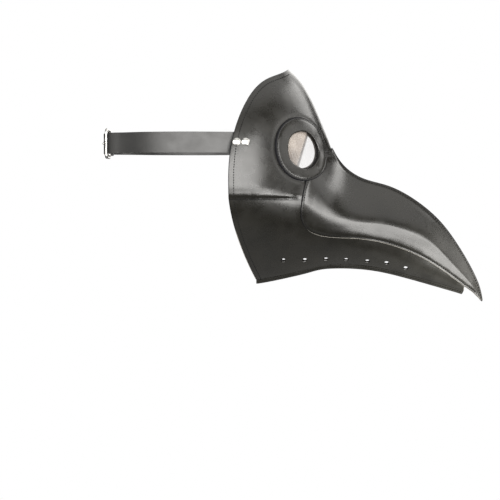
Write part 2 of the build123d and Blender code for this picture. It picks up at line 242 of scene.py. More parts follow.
# --- the skin ---
MIDDLES = (STATIONS[:, 0:2] + STATIONS[:, 2:4]) / 2
KNOTS = lengths(MIDDLES)
FLANGE_FROM, FLANGE_WHOLE = KNOTS[BRIDGE] - 6, KNOTS[NOSE] - 4  # on the ridge
skin_at = cubic(KNOTS, STATIONS)


def locate(x, z):
    """The section that a side-view point is on, and its share of the way from ridge to keel."""
    low, high = np.zeros(np.shape(x)), np.full(np.shape(x), KNOTS[-1])
    for _ in range(30):
        middle = (low + high) / 2
        s = skin_at(middle)
        behind = (s[..., 2] - s[..., 0]) * (z - s[..., 1]) > (s[..., 3] - s[..., 1]) * (x - s[..., 0])
        low, high = np.where(behind, middle, low), np.where(behind, high, middle)
    s = skin_at(low)
    down = s[..., 2:4] - s[..., 0:2]
    share = (down[..., 0] * (x - s[..., 0]) + down[..., 1] * (z - s[..., 1])) / (down**2).sum(-1)
    return low, share


def section_length(stations):
    """The length of sections from ridge to keel."""
    return np.linalg.norm(stations[..., 2:4] - stations[..., 0:2], axis=-1)


def bent(way):
    """A straight rise to 1 that bends over and stays level."""
    return way / (1 + way**BEND) ** (1 / BEND)


def skin_point(section, share, flanged=True):
    """A point of the left half of the skin. The face panel's has no flange on the ridge."""
    s = skin_at(section)
    length = section_length(s)
    fin = np.minimum(FLANGE, FLANGE_SHARE * length)
    grown = smooth(FLANGE_FROM, FLANGE_WHOLE, section) if flanged else 0.0 * section
    top_fin, flat = fin * grown, FLANGE_HALF * grown
    inside = np.clip((share * length - top_fin) / (length - top_fin - fin), 0, 1)
    shoulder, roundness, fullness = s[..., 5], s[..., 6], s[..., 7]
    rise = np.clip(inside / shoulder, 0, 1)
    round_top = np.sqrt(1 - (1 - rise) ** 2)
    flared_top = bent(rise / CREST) / bent(1 / CREST)
    above = roundness * round_top + (1 - roundness) * flared_top
    fall = np.clip((inside - shoulder) / (1 - shoulder), 0, 1)
    below = (1 - fall**fullness) ** JAW_CURVE
    least = np.where(inside < shoulder, flat, FLANGE_HALF)
    width = least + (s[..., 4] - least) * np.where(inside < shoulder, above, below)
    to_edge = np.minimum(share, 1 - share) * length / np.maximum(fin, 1e-6)
    thin = (1 - np.clip(to_edge, 0, 1)) * least / FLANGE_HALF
    width -= (FLANGE_HALF - FLANGE_EDGE_HALF) * thin
    x = s[..., 0] + share * (s[..., 2] - s[..., 0])
    z = s[..., 1] + share * (s[..., 3] - s[..., 1])
    return np.stack([x, width, z], axis=-1)


def on_skin(x, z, flanged=True):
    """The left half's skin above side-view points."""
    return skin_point(*locate(np.asarray(x, float), np.asarray(z, float)), flanged)


def skin_normal(x, z):
    """The skin's outward direction there."""
    step = 0.4
    across = on_skin(x + step, z) - on_skin(x - step, z)
    up = on_skin(x, z + step) - on_skin(x, z - step)
    return unit(np.cross(up, across))


# --- relief: how far the leather lies off the skin ---
REAR_LINE = line(BEAK_REAR)
SEAM_LINE = line(BEAK_SEAM)
MOUTH_LINE = line(MOUTH_EDGE)
BEAK_LINE = np.concatenate([REAR_LINE, SEAM_LINE[1:], MOUTH_LINE[1:]])
BACK_LINE = line(BACK_EDGE)
DENTS = [  # soft hollows and swellings: x, z, radius and height
    (141, -47, 12, -1.1), (166, -52, 17, 0.8), (112, -36, 16, 0.5), (84, -30, 11, -0.5),
    (196, -72, 12, -0.4), (92, 2, 12, -0.5), (34, -58, 20, -1.2), (110, -72, 18, 0.5),
    (150, -79, 13, -0.4), (30, 60, 18, 0.6), (12, 8, 14, -0.6),
]
RING_PRESS = 0.55  # how far the eye ring presses in the leather round it
RING_PRESS_OUT, RING_PRESS_WIDTH = 0.6, 1.6
FOLD_SLOPE = 0.15  # how steeply the leather bends in toward the cheek seam
FOLD_TOPS = ((15, -4), (64, -17))  # where the fold above the cheek seam begins: x and z
FOLD_FADE = (25, 75)  # how far below the seam it fades
FOLD_FRONT = (60, 78)  # x where it runs out
GROOVE, GROOVE_WIDTH = -0.3, 1.1  # where stitches pull the leather in
LAP_FROM, LAP_TO, FACE_LAP_TO = 3.5, 11.0, 9.0  # how far from its edge a panel stands proud
SINK_REACH, FACE_SINK_REACH = 15.0, 35.0  # how far from the upper panel the lower one sinks
SEAM_PUCKERS = (((2.9, 0), (1.7, 1), (4.7, 2)), 0.07, 7)  # waves and starts, height and reach
JAW_PUCKERS = (((3.1, 0), (5.3, 0)), 0.1, 9)
FACE_LAP_ENDS, FACE_SINK_ENDS = (54, 62), (66, 72)  # x where the face's lap over the jaw ends
RIDGE_CLEAR = (0.5, 2.5)  # flange heights from the ridge between which relief begins
KEEL_CLEAR = (0, 2.0)  # the same, from the root of the keel's flange


def dents(x, z):
    """The soft hollows and swellings of worn leather."""
    height = np.zeros(np.shape(x))
    for dent_x, dent_z, radius, depth in DENTS:
        height += depth * np.exp(-((x - dent_x) ** 2 + (z - dent_z) ** 2) / (2 * radius**2))
    return height


def cheek_fold(x, z):
    """The leather bends in along a fold above the cheek seam, less and less toward the beak."""
    (x_back, z_back), (x_front, z_front) = FOLD_TOPS
    share = np.clip((x - x_back) / (x_front - x_back), 0, 1)
    top = z_back + share * (z_front - z_back)
    down = np.clip((top - z) / (top - CHEEK_Z), 0, 1)
    above = down * down * (2 - down)
    below = 1 - smooth(*FOLD_FADE, CHEEK_Z - z)
    depth = FOLD_SLOPE * (top - CHEEK_Z)
    return -depth * np.where(z > CHEEK_Z, above, below) * (1 - smooth(*FOLD_FRONT, x))


def puckers(distance, along, waves, height, reach):
    """Small waves along a seam, lower and lower away from it."""
    total = sum(np.sin(along / size + start) for size, start in waves)
    return height * total * np.exp(-distance / reach)


def lapped_over(distance, along, reach=LAP_TO):
    """An upper panel near its edge: it stands proud, its stitches sink in, and it puckers."""
    lift = LAP_LIFT * (1 - smooth(LAP_FROM, reach, distance))
    groove = GROOVE * np.exp(-(((distance - STITCH_INSET) / GROOVE_WIDTH) ** 2))
    return lift + groove + puckers(distance, along, *SEAM_PUCKERS)


def lapped_under(distance, reach=SINK_REACH):
    """A lower panel near the edge that covers it: distance is how far it is outside."""
    return -LAP_SINK * (1 - smooth(0.0, reach, distance))


def beak_relief(x, z):
    """How far the beak's leather lies off the skin."""
    distance, along = beside(BEAK_LINE, x, z)
    return lapped_over(np.abs(distance), along) + dents(x, z) + cheek_fold(x, z)


def jaw_relief(x, z):
    """The same for the jaw, which is under the beak and the face."""
    seam, along = beside(SEAM_LINE, x, z)
    under_face = lapped_under(CHEEK_Z - z, FACE_SINK_REACH) * (1 - smooth(*FACE_SINK_ENDS, x))
    sunk = np.minimum(lapped_under(-seam), under_face)
    return sunk + puckers(np.abs(seam), along, *JAW_PUCKERS) + dents(x, z) + cheek_fold(x, z)


def face_relief(x, z):
    """The same for the face, which is over the jaw and under the beak."""
    rear, _ = beside(REAR_LINE, x, z)
    over = lapped_over(np.maximum(z - CHEEK_Z, 0), x, FACE_LAP_TO) * (1 - smooth(*FACE_LAP_ENDS, x))
    return over + lapped_under(-rear) + dents(x, z) + cheek_fold(x, z)


# --- meshes ---
def in_scene(name, data):
    """A new object, in the scene."""
    made = bpy.data.objects.new(name, data)
    bpy.context.scene.collection.objects.link(made)
    return made


def new_piece(name, points, faces, materials, kinds=None):
    """A smooth-shaded piece from points in millimetres. kinds says which material each face has."""
    mesh = bpy.data.meshes.new(name)
    mesh.from_pydata((np.asarray(points) * MM).tolist(), [], [list(map(int, f)) for f in faces])
    for material in materials:
        mesh.materials.append(material)
    mesh.polygons.foreach_set("use_smooth", [True] * len(mesh.polygons))
    if kinds is not None:
        mesh.polygons.foreach_set("material_index", kinds)
    mesh.validate()
    return in_scene(name, mesh)


def grid_quads(rows, columns, first=0, around=False):
    """The quads of a grid of points that are numbered row by row."""
    r = np.arange(rows - 1)[:, None]
    c = np.arange(columns if around else columns - 1)[None, :]
    after = (c + 1) % columns
    corners = [r * columns + c, r * columns + after, (r + 1) * columns + after, (r + 1) * columns + c]
    return first + np.stack([corner.ravel() for corner in np.broadcast_arrays(*corners)], axis=1)


def point_normals(points, quads):
    """The outward direction at every point of a surface."""
    a, b, c, d = (points[quads[:, corner]] for corner in range(4))
    diagonal = np.cross(c - a, d - b)
    normals = np.zeros_like(points)
    for corner in range(4):
        np.add.at(normals, quads[:, corner], diagonal)
    return unit(normals)


def welded(points, quads, gap=0.05):
    """The surface with points closer than gap joined, and quads that vanish left out."""
    keys = np.round(points / gap).astype(np.int64)
    _, first, index = np.unique(keys, axis=0, return_index=True, return_inverse=True)
    quads = index.ravel()[quads]
    distinct = [len(set(quad)) == 4 for quad in quads.tolist()]
    return points[first], quads[distinct]


def sheet_solid(name, points, quads, materials, side=0):
    """A closed leather piece from its outer surface: that face, an inner face below it and a
    rounded cut edge. The materials are the outer one, the inner one and the cut edge's. A
    piece with a side stays on it, so that two halves meet without crossing."""
    normals = point_normals(points, quads)
    sides = np.concatenate([quads[:, [i, (i + 1) % 4]] for i in range(4)])
    present = set(map(tuple, sides.tolist()))
    rim = np.array([pair for pair in sides.tolist() if (pair[1], pair[0]) not in present])
    outward = np.zeros_like(points)
    run = unit(points[rim[:, 1]] - points[rim[:, 0]])
    for end in (0, 1):
        np.add.at(outward, rim[:, end], np.cross(run, normals[rim[:, end]]))
    on_rim = np.unique(rim)
    outward[on_rim] = unit(outward[on_rim])
    a, b = np.searchsorted(on_rim, rim.T)
    count = len(points)
    layers = [points, points - normals * SHEET]
    faces = [quads, quads[:, ::-1] + count]
    rings = [on_rim]
    for share in EDGE_STEPS:
        turn = math.pi * share
        bulge = EDGE * math.sin(turn) ** EDGE_CURVE
        depth = SHEET * (1 - math.cos(turn)) / 2
        rings.append(2 * count + (len(rings) - 1) * len(on_rim) + np.arange(len(on_rim)))
        layers.append(points[on_rim] + outward[on_rim] * bulge - normals[on_rim] * depth)
    rings.append(count + on_rim)
    for near, far in zip(rings, rings[1:]):
        faces.append(np.stack([near[b], near[a], far[a], far[b]], axis=1))
    solid = np.concatenate(layers)
    if side:
        solid[:, 1] = side * np.maximum(side * solid[:, 1], HALF_GAP)
    kinds = np.repeat([0, 1, 2], [len(quads), len(quads), len(rim) * (len(rings) - 1)])
    return new_piece(name, solid, np.concatenate(faces), materials, kinds)


def coons(top, bottom, left, right):
    """A grid of points inside four edges. top and bottom run forward, left and right down."""
    u = np.linspace(0, 1, len(top))[None, :, None]
    v = np.linspace(0, 1, len(left))[:, None, None]
    across = (1 - v) * top[None] + v * bottom[None]
    down = (1 - u) * left[:, None] + u * right[:, None]
    flat = (1 - v) * ((1 - u) * top[0] + u * top[-1]) + v * ((1 - u) * bottom[0] + u * bottom[-1])
    return across + down - flat


def mirrored(points, quads, side):
    """The left half's surface on the side asked for, facing outward."""
    if side == LEFT:
        return points, quads
    return points * (1, -1, 1), quads[:, ::-1]


def lifted(points, quads, height):
    """A surface moved out by a height at each of its points."""
    return points + point_normals(points, quads) * height[:, None]


# --- leather panels ---
def fin_share(section):
    """The flange's height as a share of its section's length."""
    length = section_length(skin_at(section))
    return np.minimum(FLANGE, FLANGE_SHARE * length) / length


def side_view(section, share):
    """The side-view point at a share of the way down a section."""
    s = skin_at(section)
    return s[..., 0:2] + np.asarray(share)[..., None] * (s[..., 2:4] - s[..., 0:2])


def below_fin(points):
    """The part of a side-view line that is below the ridge's flange and above the keel's."""
    section, share = locate(*points.T)
    fin = fin_share(section)
    return points[(share >= fin) & (share <= 1 - fin)]


def section_of(point):
    """The section through a side-view point."""
    return float(locate(*point)[0])


def cells(points):
    """How many points a panel needs along a line."""
    return int(lengths(points)[-1] / CELL) + 2


def beak_surface():
    """Outer surface of the left beak panel, with its ridge flange."""
    corner = np.argmin(np.abs(SEAM_LINE[:, 1] - CORNER_Z))
    left = np.concatenate([below_fin(REAR_LINE), SEAM_LINE[1:corner + 1]])
    bottom = np.concatenate([SEAM_LINE[corner:], MOUTH_LINE[1:]])
    columns = cells(bottom)
    sections = np.linspace(section_of(left[0]), KNOTS[-1], columns)
    fin = fin_share(sections)
    root = side_view(sections, fin)
    root[0] = left[0]
    right = np.stack([root[-1], bottom[-1]])
    rows = cells(left)
    body = coons(root, evenly(bottom, columns), evenly(left, rows), evenly(right, rows))
    flange = [side_view(sections, fin * share) for share in FLANGE_STEPS]
    grid = np.concatenate([np.stack(flange), body])
    section, share = locate(grid[..., 0], grid[..., 1])
    section[:len(flange)], share[:len(flange)] = sections, np.outer(FLANGE_STEPS, fin)
    points = skin_point(section, share).reshape(-1, 3)
    quads = grid_quads(*grid.shape[:2])
    relief = beak_relief(points[:, 0], points[:, 2])
    relief *= smooth(*RIDGE_CLEAR, share.ravel() / np.tile(fin, len(grid)))
    return lifted(points, quads, relief), quads


def jaw_surface():
    """Outer surface of the left jaw panel, with its keel flange. Its upper edge lies under the
    beak's panel, and leaves a slit at the mouth."""
    reach = LAP - (LAP + MOUTH_SLIT) * smooth(MOUTH_FROM, MOUTH_TO, SEAM_LINE[:, 0])
    top = shifted(SEAM_LINE, reach[:, None])
    corner = np.argmin(np.abs(top[:, 1] - CORNER_Z))
    edge_z = CHEEK_Z + LAP
    back = below_fin(BACK_LINE[BACK_LINE[:, 1] < edge_z])
    front = below_fin(line([top[-1], JAW_END]))
    down_seam = np.concatenate([[(top[0, 0], edge_z)], top[:corner + 1]])
    keel_sections = [section_of(back[-1]), section_of(top[corner]) + 5, section_of(front[-1])]
    columns = [cells(np.array([back[0], down_seam[0]])), cells(top[corner:])]
    sections = [np.linspace(keel_sections[i], keel_sections[i + 1], columns[i]) for i in (0, 1)]
    roots = [side_view(s, 1 - fin_share(s)) for s in sections]
    inner = np.stack([top[corner], roots[0][-1]])
    rows_seam, rows_inner = cells(down_seam), cells(inner)
    rows = rows_seam + rows_inner - 1
    right = np.concatenate([evenly(down_seam, rows_seam), evenly(inner, rows_inner)[1:]])
    rear_top = evenly(np.stack([back[0], down_seam[0]]), columns[0])
    rear = coons(rear_top, roots[0], evenly(back, rows), right)
    ahead_sides = [evenly(edge, rows_inner) for edge in (inner, front)]
    ahead = coons(evenly(top[corner:], columns[1]), roots[1], *ahead_sides)
    everywhere = np.concatenate([sections[0], sections[1][1:]])
    fin = fin_share(everywhere)
    shares = [1 - fin * share for share in (1, *reversed(FLANGE_STEPS))]
    grids = [on_skin(grid[..., 0], grid[..., 1]) for grid in (rear, ahead)]
    grids.append(np.stack([skin_point(everywhere, share) for share in shares]))
    starts = np.cumsum([0] + [grid[..., 0].size for grid in grids])
    faces = [grid_quads(*grid.shape[:2], start) for grid, start in zip(grids, starts)]
    points = np.concatenate([grid.reshape(-1, 3) for grid in grids])
    points, quads = welded(points, np.concatenate(faces))
    section, share = locate(points[:, 0], points[:, 2])
    clear = smooth(*KEEL_CLEAR, (1 - fin_share(section) - share) / fin_share(section))
    relief = jaw_relief(points[:, 0], points[:, 2]) * clear
    return lifted(points, quads, relief), quads


def flattened(points):
    """Side-view points as section and root of the share, which is smooth over the forehead."""
    section, share = locate(*points.T)
    return np.stack([section, np.sqrt(np.maximum(share, 0))], axis=1), share


def unflattened(flat):
    """The points of the face's skin for those."""
    return skin_point(flat[..., 0], flat[..., 1] ** 2, False)


def face_surface():
    """Outer surface of the left half of the face panel, from the middle of the forehead."""
    sides, ends = [], []
    for edge in (BACK_LINE, shifted(REAR_LINE, LAP)):
        flat, share = flattened(edge)
        kept = (share >= 0) & (edge[:, 1] >= CHEEK_Z)
        sides.append(np.concatenate([[(flat[kept][0, 0], 0)], flat[kept]]))
        ends.append((edge[kept][-1, 0], CHEEK_Z))
    left, right = sides
    top = np.linspace(left[0], right[0], FINE)
    bottom, _ = flattened(np.linspace(*ends, FINE))
    bottom[0], bottom[-1] = left[-1], right[-1]
    rows, columns = cells(unflattened(left)), cells(unflattened(top))
    edges = ((top, columns), (bottom, columns), (left, rows), (right, rows))
    grid = coons(*[evenly(edge, count, unflattened(edge)) for edge, count in edges])
    return unflattened(grid).reshape(-1, 3), grid_quads(rows, columns)


def eye_axis(side):
    """The middle of an eye on the skin, and the direction that it faces."""
    centre = on_skin(EYE_X, EYE_Z, False) * (1, side, 1)
    facing = np.array([
        math.sin(EYE_TURN) * math.cos(EYE_PITCH),
        side * math.cos(EYE_TURN) * math.cos(EYE_PITCH),
        math.sin(EYE_PITCH),
    ])
    return centre, facing


def eye_distance(points, side):
    """How far points are from the axis of an eye: no end when they are on the other side."""
    centre, facing = eye_axis(side)
    offset = points - centre
    height = offset @ facing
    far = np.linalg.norm(offset - height[:, None] * facing, axis=1)
    return np.where(height > -EYE_DEPTH, far, np.inf)


def whole_face(points, quads):
    """Both halves of the face panel in one surface, with its relief."""
    right, right_quads = mirrored(points, quads, RIGHT)
    faces = np.concatenate([quads, right_quads + len(points)])
    both, faces = welded(np.concatenate([points, right]), faces)
    pressed = np.zeros(len(both))
    for side in (LEFT, RIGHT):
        out = eye_distance(both, side) - EYE_RING_R - RING_PRESS_OUT
        pressed += RING_PRESS * np.exp(-((out / RING_PRESS_WIDTH) ** 2))
    return lifted(both, faces, face_relief(both[:, 0], both[:, 2]) - pressed), faces


def cut_eyes(points, quads, radius):
    """The surface without what lies within a radius of the eyes."""
    for side in (LEFT, RIGHT):
        inside = eye_distance(points, side) < radius
        quads = quads[~inside[quads].all(axis=1)]
    used, index = np.unique(quads, return_inverse=True)
    return points[used], index.reshape(quads.shape)


def punched(piece, side):
    """Cuts the vents out of a jaw panel."""
    spots, faces = [], []
    for x, z in VENTS:
        centre = Vector(on_skin(x, z) * (1, side, 1))
        normal = Vector(skin_normal(np.array([x]), np.array([z]))[0] * (1, side, 1))
        turn = normal.to_track_quat("Z", "Y").to_matrix()
        angles = full_turn(VENT_SIDES)
        ring = [Vector((math.cos(a) * VENT_R, math.sin(a) * VENT_R, 0)) for a in angles]
        low, high = len(spots), len(spots) + VENT_SIDES
        for level in (-VENT_CUT, VENT_CUT):
            spots += [turn @ (spot + Vector((0, 0, level))) + centre for spot in ring]
        faces += grid_quads(2, VENT_SIDES, low, around=True).tolist()
        faces += [list(reversed(range(low, high))), list(range(high, high + VENT_SIDES))]
    cutter = new_piece("vent_cutter", [list(spot) for spot in spots], faces, [])
    cut = piece.modifiers.new("vents", "BOOLEAN")
    cut.operation = "DIFFERENCE"
    cut.solver = "EXACT"
    cut.object = cutter
    graph = bpy.context.evaluated_depsgraph_get()
    with_vents = bpy.data.meshes.new_from_object(piece.evaluated_get(graph))
    piece.modifiers.clear()
    piece.data = with_vents
    bpy.data.objects.remove(cutter)


# --- stitches ---
def stitches(name, points, normals, material):
    """A row of thread stitches along a line of points, half sunk into the leather."""
    where = lengths(points)
    count = int(where[-1] / STITCH_PITCH)
    spots, faces = [], []
    for at in (np.arange(count) + 0.5) * where[-1] / count:
        start, middle, end = at_lengths(points, where, at + STITCH_LENGTH * np.array([-0.5, 0, 0.5]))
        up = at_lengths(normals, where, at)
        size = np.linalg.norm(end - start)
        ahead = (end - start) / size
        side = unit(np.cross(up, ahead))
        up = np.cross(ahead, side)
        first = len(spots)
        for along, girth in STITCH_PROFILE:
            rise = STITCH_ARCH * STITCH_R * (1 - (2 * along) ** 2) - STITCH_SINK
            hub = middle + ahead * along * size + up * rise
            reach = STITCH_R * girth
            for turn in 2 * math.pi * np.arange(STITCH_SIDES) / STITCH_SIDES:
                spots.append(hub + side * math.cos(turn) * reach + up * math.sin(turn) * reach)
        faces += grid_quads(len(STITCH_PROFILE), STITCH_SIDES, first, around=True).tolist()
        faces.append(list(reversed(range(first, first + STITCH_SIDES))))
        faces.append(list(range(len(spots) - STITCH_SIDES, len(spots))))
    return new_piece(name, spots, faces, [material])


def stitch_line(side_line, side, relief, flanged=True):
    """Where stitches lie on a panel: points and outward directions along a side-view line."""
    x, z = side_line.T
    normals = skin_normal(x, z)
    points = on_skin(x, z, flanged) + normals * relief(x, z)[:, None]
    return points * (1, side, 1), normals * (1, side, 1)


def fin_line(side, on_ridge, first, last):
    """Where stitches lie on a flange, between two sections."""
    sections = np.linspace(first, last, FINE)
    length = section_length(skin_at(sections))
    share = FLANGE_STITCH_INSET / length
    flat = side_view(sections, share if on_ridge else 1 - share)
    down = np.clip(share / fin_share(sections), 0, 1)
    half = FLANGE_EDGE_HALF + (FLANGE_HALF - FLANGE_EDGE_HALF) * down
    points = np.stack([flat[:, 0], half + FLANGE_STITCH_OUT, flat[:, 1]], axis=1)
    return points * (1, side, 1), np.tile((0.0, side, 0.0), (FINE, 1))


# --- eyes ---
RING_PROFILE = [  # radius and height above the skin, round the ring's section
    (19.4, -2.9), (18.6, -2.7), (18.35, -1.2), (18.3, 0.6), (18.45, 1.4), (18.9, 1.85), (19.6, 2.0),
    (21.5, 2.05), (24.0, 2.15), (26.5, 2.15), (28.2, 2.05), (28.8, 1.9), (29.2, 1.8), (29.6, 1.9),
    (30.2, 1.95), (30.8, 1.85), (31.15, 1.5), (31.45, 0.6), (31.4, -0.9), (28.0, -1.2), (22.0, -1.3),
]
RING_WALL = (14, 15, 16, 17)  # the steps of the profile that are the ring's cut edge
RING_STITCH_R, RING_STITCH_HEIGHT = 29.2, 1.75
RING_STEPS = 168
RING_LAP = math.radians(-52)  # where the ring's end lies over its start
RING_LAP_HEIGHT, RING_LAP_TURN, RING_LAP_EDGE = 0.8, 0.45, 0.02
RING_TOP, RING_FLAT = (0.5, 1.8), (20, 23)  # heights and radii between which the lap begins
RING_UNEVEN = 0.12
HOLE_SHIFT = (1.1, -1.1)  # forward and up: the hole isn't quite in the ring's middle
HOLE_CORNERS, HOLE_CORNER_HEIGHT = 5, 0.3  # its edge is a little angular
HOLE_FADE = (18.5, 25)  # radii between which that fades
LENS_DEPTH = 2.6
LENS_SHEET = 0.7
LENS_EDGE_R, LENS_BULGE, LENS_HUB_R = 21.0, 0.15, 0.15
LENS_RINGS, LENS_STEPS = 22, 96
CREASE_X, CREASE_Z, CREASE_LEAN = 62.5, 28, 0.3  # a crease across the lens, and how it slants


def eye_frame():
    """The left eye's middle, the direction it faces, and forward and up across it."""
    centre, facing = eye_axis(LEFT)
    across = np.cross(facing, (0, 0, 1.0))
    across *= math.copysign(1 / np.linalg.norm(across), across[0])
    up = np.cross(across, facing)
    return centre, facing, across, up * math.copysign(1, up[2])


EYE_CENTRE, EYE_FACING, EYE_ACROSS, EYE_UP = eye_frame()


def across_eye(u, v, height):
    """Points u forward and v up across the left eye, at a height above its middle."""
    u, v, height = (value[..., None] for value in np.broadcast_arrays(u, v, height))
    return EYE_CENTRE + u * EYE_ACROSS + v * EYE_UP + height * EYE_FACING


def eye_bed():
    """Height of the skin round the left eye, as a smooth function of where across it."""
    radii, turns = np.meshgrid(np.linspace(0, EYE_RING_R, 12), np.linspace(0, 2 * math.pi, 49)[:-1])
    u, v = (radii * np.cos(turns)).ravel(), (radii * np.sin(turns)).ravel()
    low, high = np.full(len(u), -30.0), np.full(len(u), 30.0)
    for _ in range(30):
        middle = (low + high) / 2
        spot = across_eye(u, v, middle)
        outside = spot[:, 1] > on_skin(spot[:, 0], spot[:, 2], False)[:, 1]
        low, high = np.where(outside, low, middle), np.where(outside, middle, high)
    powers = [(i, j) for i in range(5) for j in range(5 - i)]

    def basis(u, v):
        """The powers of u and v that the height is made of."""
        return np.stack([(u / EYE_RING_R) ** i * (v / EYE_RING_R) ** j for i, j in powers], axis=-1)

    weights, *_ = np.linalg.lstsq(basis(u, v), low, rcond=None)
    return lambda u, v: basis(u, v) @ weights


BED = eye_bed()


def around_eye(side, radius, turn, height):
    """A point at a radius and turn round an eye, at a height above the skin."""
    u, v = radius * np.cos(turn), radius * np.sin(turn)
    return across_eye(u, v, BED(u, v) + height) * (1, side, 1)


def eye_ring(side, name, materials):
    """The raised leather ring, sewn round and lapped where its ends meet."""
    turns = full_turn(RING_STEPS)
    profile = np.array(RING_PROFILE)
    radius, turn = np.meshgrid(profile[:, 0], turns)
    height = np.broadcast_to(profile[:, 1], radius.shape).copy()
    past = np.mod(turn - RING_LAP, 2 * math.pi)
    step = np.exp(-past / RING_LAP_TURN) * (1 - np.exp(-past / RING_LAP_EDGE))
    height += RING_LAP_HEIGHT * step * smooth(*RING_TOP, height) * smooth(*RING_FLAT, radius)
    height += RING_UNEVEN * np.sin(7 * turn + 1) * np.sin(3 * turn) * smooth(1, 2, height)
    inner = 1 - smooth(*HOLE_FADE, radius)
    angular = HOLE_CORNER_HEIGHT * np.cos(HOLE_CORNERS * turn + 0.5)
    u = radius * np.cos(turn) + inner * (HOLE_SHIFT[0] + angular * np.cos(turn))
    v = radius * np.sin(turn) + inner * (HOLE_SHIFT[1] + angular * np.sin(turn))
    points = around_eye(side, np.hypot(u, v), np.arctan2(v, u), height).reshape(-1, 3)
    rows, columns = radius.shape
    quads = grid_quads(rows + 1, columns, around=True) % len(points)
    if side == LEFT:
        quads = quads[:, ::-1]
    kinds = np.tile(np.isin(np.arange(columns), RING_WALL), rows).astype(int)
    return new_piece(name, points, quads, materials, kinds)


def ring_stitches(side, name, material):
    """The stitches round the ring, near its outer edge."""
    turns = np.linspace(0, 2 * math.pi, 2 * FINE)
    points, above = (
        around_eye(side, RING_STITCH_R, turns, RING_STITCH_HEIGHT + rise) for rise in (0, 1)
    )
    return stitches(name, points, above - points, material)


def lens(side, name, material):
    """The clear sheet behind the ring, from the middle of its outer face round to the inner."""
    outward = np.linspace(LENS_HUB_R, LENS_EDGE_R, LENS_RINGS)
    radii = np.concatenate([outward, [LENS_EDGE_R + LENS_BULGE], outward[::-1]])
    depths = np.repeat([0, 0.5, 1], (LENS_RINGS, 1, LENS_RINGS)) * LENS_SHEET + LENS_DEPTH
    radius, turn = np.meshgrid(radii, full_turn(LENS_STEPS))
    points = around_eye(side, radius, turn, -depths).reshape(-1, 3)
    quads = grid_quads(LENS_STEPS + 1, len(radii)) % len(points)
    outer_cap, inner_cap = range(0, len(points), len(radii)), range(len(points) - 1, 0, -len(radii))
    faces = quads[:, ::-1].tolist() + [list(outer_cap), list(inner_cap)]
    if side == RIGHT:
        faces = [face[::-1] for face in faces]
    return new_piece(name, points, faces, [material])


# --- materials ---
PAINTED_LIGHT_ALONG = (0.35, 0, -1.0)  # painted light: the leather is painted paler this way, toward the end of the beak, where the jaw's end catches light
PAINTED_LIGHT_FROM, PAINTED_LIGHT_TO = 0.1, 0.19  # in metres along it
# colour of the painted light on the lower front of the beak
PAINTED_LIGHT_COLOUR = (0.032, 0.031, 0.027, 1)
INK = (0.006, 0.006, 0.007, 1)
BLACK = (0.0036, 0.0034, 0.0026), (0.0065, 0.006, 0.0046)
GREY_BLACK = (0.009, 0.009, 0.009), (0.016, 0.016, 0.015)
GLOSSY, MATT = (0.235, 0.32), (0.42, 0.55)  # lowest and highest roughness
STRAP_GRAIN = 1.6
HIGHLIGHT_EDGE_BELOW = -50  # cut edges below this height aren't inked but painted pale grey, a painted highlight along the lower seams,
HIGHLIGHT_EDGE_OUTSIDE = FLANGE_HALF + 0.3  # if they are this far from the middle of the mask


class Shader:
    """A new material with a Principled shader, and what makes the nodes that feed it."""

    def __init__(self, name):
        self.material = bpy.data.materials.new(name)
        self.material.use_nodes = True
        self.tree = self.material.node_tree
        self.space = self.node("TexCoord").outputs["Object"]

    def fill(self, socket, value):
        """Gives an input a value, or another node's output."""
        if isinstance(value, bpy.types.NodeSocket):
            self.tree.links.new(value, socket)
        else:
            socket.default_value = value

    def node(self, kind, *values, **settings):
        """A new shader node of a kind. The values go into its first inputs, and the settings
        into its other inputs and its own properties, by name."""
        made = self.tree.nodes.new("ShaderNode" + kind)
        for key, value in settings.items():
            if key in made.inputs:
                self.fill(made.inputs[key], value)
            else:
                setattr(made, key, value)
        for socket, value in zip(made.inputs, values):
            self.fill(socket, value)
        return made

    def noise(self, scale, detail=3.0, rough=0.5):
        """Noise in the object's own space, scale features to a metre."""
        sizes = {"Scale": scale, "Detail": detail, "Roughness": rough}
        return self.node("TexNoise", self.space, **sizes).outputs["Fac"]

    def ramp(self, value, low_colour, high_colour, low=0.3, high=0.7):
        """A colour that changes from one to another as value goes from low to high."""
        made = self.node("ValToRGB", value)
        for stop, position, colour in ((0, low, low_colour), (1, high, high_colour)):
            made.color_ramp.elements[stop].position = position
            made.color_ramp.elements[stop].color = (*colour, 1)
        return made.outputs["Color"]

    def remap(self, value, low, high, *to):
        """The value, changed so that low to high becomes 0 to 1, or what to says."""
        return self.node("MapRange", value, low, high, *to).outputs["Result"]

    def along(self, direction):
        """How far the surface is along a direction from the object's origin, in metres."""
        made = self.node("VectorMath", self.space, direction, operation="DOT_PRODUCT")
        return made.outputs["Value"]

    def product(self, first, second):
        """Two outputs multiplied."""
        return self.node("Math", first, second, operation="MULTIPLY").outputs["Value"]

    def mix(self, amount, first, second):
        """The first colour, changed to the second by an amount."""
        made = self.node("Mix", data_type="RGBA", Factor=amount)
        self.fill(made.inputs[6], first)
        self.fill(made.inputs[7], second)
        return made.outputs[2]

    def bumped(self, *heights):
        """A normal from chained bumps, each (height, distance in metres, strength)."""
        normal = None
        for height, distance, strength in heights:
            bump = self.node("Bump", Height=height, Distance=distance, Strength=strength)
            if normal is not None:
                self.fill(bump.inputs["Normal"], normal)
            normal = bump.outputs["Normal"]
        return normal

    def surface(self, looks):
        """The material, with these looks in its Principled shader."""
        for name, value in looks.items():
            self.fill(self.tree.nodes["Principled BSDF"].inputs[name], value)
        return self.material


